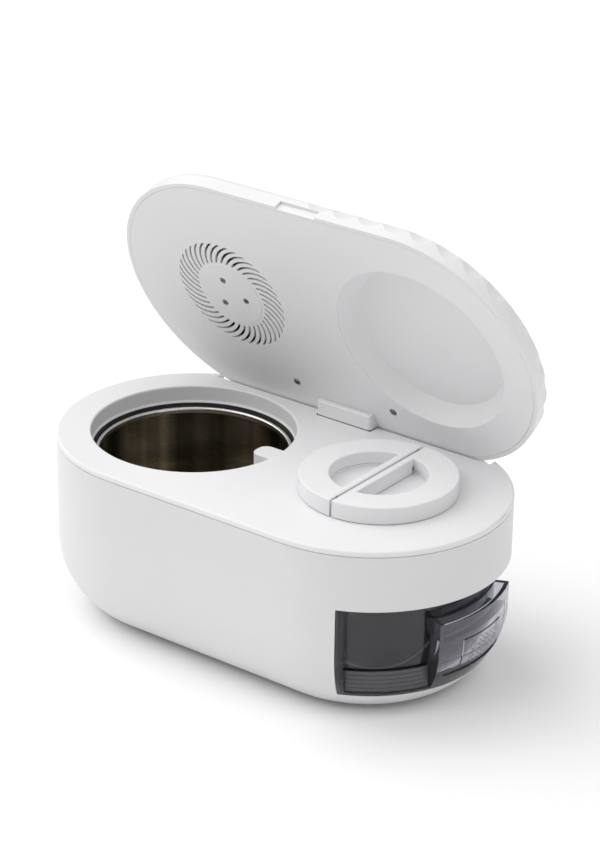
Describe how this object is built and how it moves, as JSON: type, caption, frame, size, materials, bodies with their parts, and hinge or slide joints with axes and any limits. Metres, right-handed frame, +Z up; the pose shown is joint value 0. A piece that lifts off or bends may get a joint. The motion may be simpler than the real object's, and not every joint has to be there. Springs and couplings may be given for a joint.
{
  "type": "automatic pet feeder",
  "caption": "Stadium-shaped automatic dry-food feeder with a round steel hopper, a ring-handled cap, a hinged fan lid and a smoked pull-out serving drawer at one end.",
  "frame": {"origin": "centre of the footprint, on the plane of the feet", "axes": "+X along the length towards the drawer, +Y towards the lid's hinge, +Z up"},
  "size_m": [0.37, 0.21, 0.3334],
  "materials": {
    "white_shell": "satin",
    "white_deck": "satin",
    "hopper_steel": "brushed",
    "screw_steel": "satin",
    "rubber": "matt",
    "seal_silicone": "satin",
    "impeller_silicone": "satin",
    "inner_plastic": "satin",
    "bush_brass": "satin",
    "motor_can": "satin",
    "gear_plastic": "satin",
    "board_green": "gloss",
    "smoked_clear": "gloss",
    "smoked_dark": "gloss",
    "desiccant": "matt"
  },
  "bodies": {
    "housing": {"base_shell": "white_shell", "base_plate": "white_shell", "base_screws": "screw_steel", "rubber_feet": "rubber", "deck_panel": "white_deck", "hopper_tub": "hopper_steel", "hopper_seal": "seal_silicone", "tub_cradle": "inner_plastic", "cradle_screws": "screw_steel", "canister_well": "white_deck", "outlet_chute": "inner_plastic", "gearbox_case": "inner_plastic", "gearbox_cover": "inner_plastic", "shaft_bush": "bush_brass", "drive_motor": "motor_can", "control_board": "board_green", "board_parts": "inner_plastic", "level_sensor": "inner_plastic", "dc_jack": "inner_plastic", "drawer_rails": "inner_plastic", "hinge_bracket": "inner_plastic", "hinge_pin": "screw_steel"},
    "stirrer": {"impeller": "impeller_silicone", "impeller_shaft": "screw_steel", "drive_wheel": "gear_plastic"},
    "pinion": {"motor_pinion": "bush_brass"},
    "lid": {"lid_shell": "white_deck", "lid_liner": "white_deck", "lid_screws": "screw_steel", "vent_grille": "white_deck", "grille_screws": "screw_steel", "fan_frame": "inner_plastic", "fan_motor": "motor_can", "hinge_knuckle": "white_deck"},
    "fan": {"fan_rotor": "inner_plastic"},
    "cap": {"cap_base": "white_deck", "cap_seal": "seal_silicone", "wing_pins": "screw_steel", "desiccant_canister": "gear_plastic", "desiccant_pack": "desiccant"},
    "left_wing": {"cap_wing_left": "white_deck"},
    "right_wing": {"cap_wing_right": "white_deck"},
    "drawer": {"drawer_tub": "smoked_clear", "bowl_insert": "smoked_dark", "pull_panel": "smoked_clear"}
  },
  "joints": [
    {"name": "stirrer_turn", "type": "hinge", "parent": "housing", "child": "stirrer", "pos_m": [-0.0825, 0, 0.062], "axis": [0, 0, 1], "continuous": true},
    {"name": "pinion_turn", "type": "hinge", "parent": "housing", "child": "pinion", "pos_m": [-0.11275, 0, 0.044], "axis": [0, 0, 1], "continuous": true},
    {"name": "lid_hinge", "type": "hinge", "parent": "housing", "child": "lid", "pos_m": [0, 0.0918, 0.1491], "axis": [-1, 0, 0], "range_deg": [-68.3, 0]},
    {"name": "fan_spin", "type": "hinge", "parent": "lid", "child": "fan", "pos_m": [-0.087, 0.05683, 0.23399], "axis": [0, 0.9291, 0.3697], "continuous": true},
    {"name": "cap_lift", "type": "slide", "parent": "housing", "child": "cap", "axis": [0, 0, 1], "range_m": [0, 0.05]},
    {"name": "left_wing_fold", "type": "hinge", "parent": "cap", "child": "left_wing", "pos_m": [0.08425, 0, 0.1515], "axis": [0, 1, 0], "range_deg": [0, 80]},
    {"name": "right_wing_fold", "type": "hinge", "parent": "cap", "child": "right_wing", "pos_m": [0.09175, 0, 0.1515], "axis": [0, -1, 0], "range_deg": [0, 80]},
    {"name": "drawer_slide", "type": "slide", "parent": "housing", "child": "drawer", "axis": [1, 0, 0], "range_m": [0, 0.11]}
  ],
  "couplings": [
    {"joint": "pinion_turn", "follows": "stirrer_turn", "ratio": -4}
  ]
}
